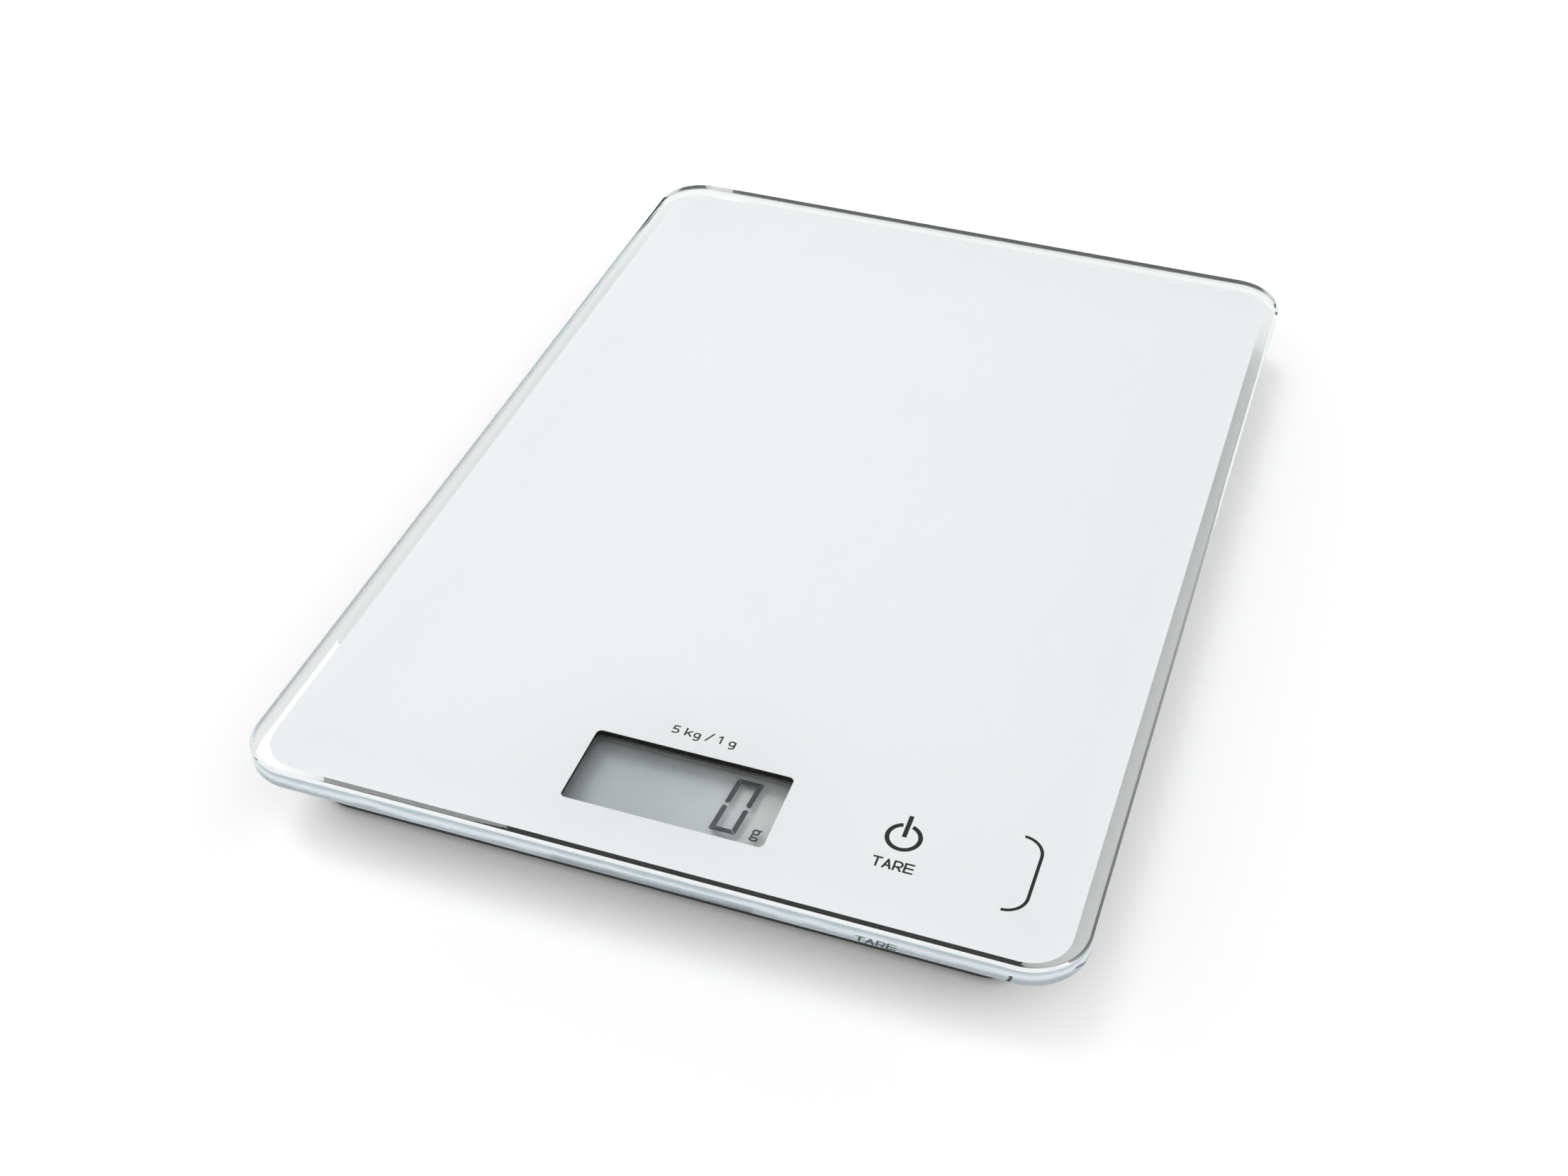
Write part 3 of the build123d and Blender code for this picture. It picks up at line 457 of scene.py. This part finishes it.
def dress_nodes(finishes):
    """Gives every CAD node the finish of its material slot."""
    for part in frame["record"]["subparts"]:
        mesh = nodes[part["node"]].data
        mesh.materials.clear()
        mesh.materials.append(finishes[part["material_slot"]].material)


# ---------------------------------------------------------------- glass platform

ARRIS = 0.5 * MM
EDGE_ROUND = 0.09 * MM
CORNER_R = 10.0 * MM
CORNER_STEPS = 32
PRINT_BITE = 0.02 * MM


def rounded_outline(half_w, half_l, radius):
    """Points of a rounded rectangle, anticlockwise, the same number in every corner."""
    points = []
    for turn, (sx, sy) in enumerate(((1, 1), (-1, 1), (-1, -1), (1, -1))):
        centre = Vector((sx * (half_w - radius), sy * (half_l - radius)))
        for step in range(CORNER_STEPS + 1):
            angle = (turn + step / CORNER_STEPS) * pi / 2
            points.append(centre + radius * Vector((cos(angle), sin(angle))))
    return points


def eased(before, corner, after):
    """Three profile points that round off one corner of the edge profile."""
    first = corner + (before - corner).normalized() * EDGE_ROUND
    last = corner + (after - corner).normalized() * EDGE_ROUND
    return [first, (first + last + 2 * corner) / 4, last]


def edge_profile(bottom, top):
    """(inset, height) points round the edge of the plate: two flat arrises, each fold eased."""
    folds = [
        Vector((ARRIS, bottom)),
        Vector((0, bottom + ARRIS)),
        Vector((0, top - ARRIS)),
        Vector((ARRIS, top)),
    ]
    inner_low = Vector((2 * ARRIS, bottom))
    inner_high = Vector((2 * ARRIS, top))
    path = [inner_low] + folds + [inner_high]
    profile = [inner_low]
    for before, corner, after in zip(path, path[1:], path[2:]):
        profile += eased(before, corner, after)
    return profile + [inner_high]


def glass_platform():
    """Tempered glass plate with ground arrises, its underside wetted by the enamel."""
    low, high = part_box("glass_plate")
    mesh = bmesh.new()
    rings = []
    for inset, z in edge_profile(low.z - PRINT_BITE, high.z):
        outline = rounded_outline(high.x - inset, high.y - inset, CORNER_R - inset)
        rings.append([mesh.verts.new((p.x, p.y, z)) for p in outline])
    count = len(rings[0])
    for lower, upper in zip(rings, rings[1:]):
        for i in range(count):
            j = (i + 1) % count
            mesh.faces.new((lower[i], lower[j], upper[j], upper[i]))
    mesh.faces.new(rings[-1])
    mesh.faces.new(rings[0][::-1])
    for face in mesh.faces:
        face.smooth = True
    data = bpy.data.meshes.new("glass_platform")
    mesh.to_mesh(data)
    mesh.free()
    plate = bpy.data.objects.new("glass_platform", data)
    bpy.context.scene.collection.objects.link(plate)
    weighted = plate.modifiers.new("flat_faces", "WEIGHTED_NORMAL")
    weighted.keep_sharp = True
    return plate


def add_platform(finishes):
    plate = glass_platform()
    plate.data.materials.append(finishes["glass_clear"].material)
    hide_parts("glass_plate")
    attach(plate, "housing")


# ---------------------------------------------------------------- studio

FLOOR_SIZE = 6.0
CAMERA_AIM = Vector((0.9, -31.3, 15.0)) * MM
CAMERA_DISTANCE = 382.3 * MM
CAMERA_AZIMUTH = radians(18.42)
CAMERA_ELEVATION = radians(40.17)
CAMERA_ROLL = radians(0.65)
CAMERA_LENS = 47.8
KEY_PLACE = (radians(232), radians(50))
KEY_DISTANCE = 1.4
KEY_SIZE = 0.6
KEY_POWER = 4.5
WORLD_STRENGTH = 1.08
FLAG_PLACE = (radians(197), radians(46))
FLAG_INNER = radians(13)
FLAG_OUTER = radians(30)
FLAG_GLOW = 0.03
CLEAR_LAYERS = 24


def direction(azimuth, elevation):
    """Unit vector from the object towards a place in the room; azimuth 0 is in front of the display."""
    return Vector((sin(azimuth) * cos(elevation), -cos(azimuth) * cos(elevation), sin(elevation)))


def add_floor():
    bpy.ops.mesh.primitive_plane_add(size=FLOOR_SIZE)
    floor = bpy.context.object
    floor.name = "floor"
    f = Finish("floor_white", (0.93, 0.93, 0.93), 0.9, specular=0.1)
    f.feed(f.spread(f.noise(80 * MM), 0.85, 0.95), "Roughness")
    floor.data.materials.append(f.material)


def add_key_light():
    light = bpy.data.lights.new("key", "AREA")
    light.shape = "DISK"
    light.size = KEY_SIZE
    light.energy = KEY_POWER
    lamp = bpy.data.objects.new("key", light)
    away = direction(*KEY_PLACE)
    lamp.location = away * KEY_DISTANCE
    lamp.rotation_mode = "QUATERNION"
    lamp.rotation_quaternion = away.to_track_quat("Z", "Y")
    lamp.visible_glossy = False
    bpy.context.scene.collection.objects.link(lamp)


def add_world():
    """Even white surround with one dark flag behind the object, which the glass mirrors."""
    world = bpy.data.worlds.new("studio")
    world.use_nodes = True
    tree = world.node_tree
    sky = tree.nodes["Background"]
    sky.inputs["Color"].default_value = (1.0, 1.0, 1.0, 1.0)
    towards = tree.nodes.new("ShaderNodeVectorMath")
    towards.operation = "DOT_PRODUCT"
    towards.inputs[1].default_value = direction(*FLAG_PLACE)
    place = tree.nodes.new("ShaderNodeTexCoord").outputs["Generated"]
    tree.links.new(place, towards.inputs[0])
    glow = tree.nodes.new("ShaderNodeMapRange")
    glow.interpolation_type = "SMOOTHSTEP"
    limits = {
        "From Min": cos(FLAG_OUTER),
        "From Max": cos(FLAG_INNER),
        "To Min": WORLD_STRENGTH,
        "To Max": FLAG_GLOW,
    }
    for socket, value in limits.items():
        glow.inputs[socket].default_value = value
    tree.links.new(towards.outputs["Value"], glow.inputs["Value"])
    tree.links.new(glow.outputs["Result"], sky.inputs["Strength"])
    bpy.context.scene.world = world


def add_camera():
    data = bpy.data.cameras.new("camera")
    data.lens = CAMERA_LENS
    camera = bpy.data.objects.new("camera", data)
    away = direction(CAMERA_AZIMUTH, CAMERA_ELEVATION)
    camera.location = CAMERA_AIM + away * CAMERA_DISTANCE
    camera.rotation_mode = "QUATERNION"
    roll = Quaternion((0, 0, 1), CAMERA_ROLL)
    camera.rotation_quaternion = (-away).to_track_quat("-Z", "Y") @ roll
    bpy.context.scene.collection.objects.link(camera)
    bpy.context.scene.camera = camera


def build():
    finishes = {name: make() for name, make in FINISHES.items()}
    dress_nodes(finishes)
    add_platform(finishes)
    add_floor()
    add_world()
    add_key_light()
    add_camera()
    bpy.context.scene.view_settings.view_transform = "Standard"
    bpy.context.scene.cycles.transparent_max_bounces = CLEAR_LAYERS


build()
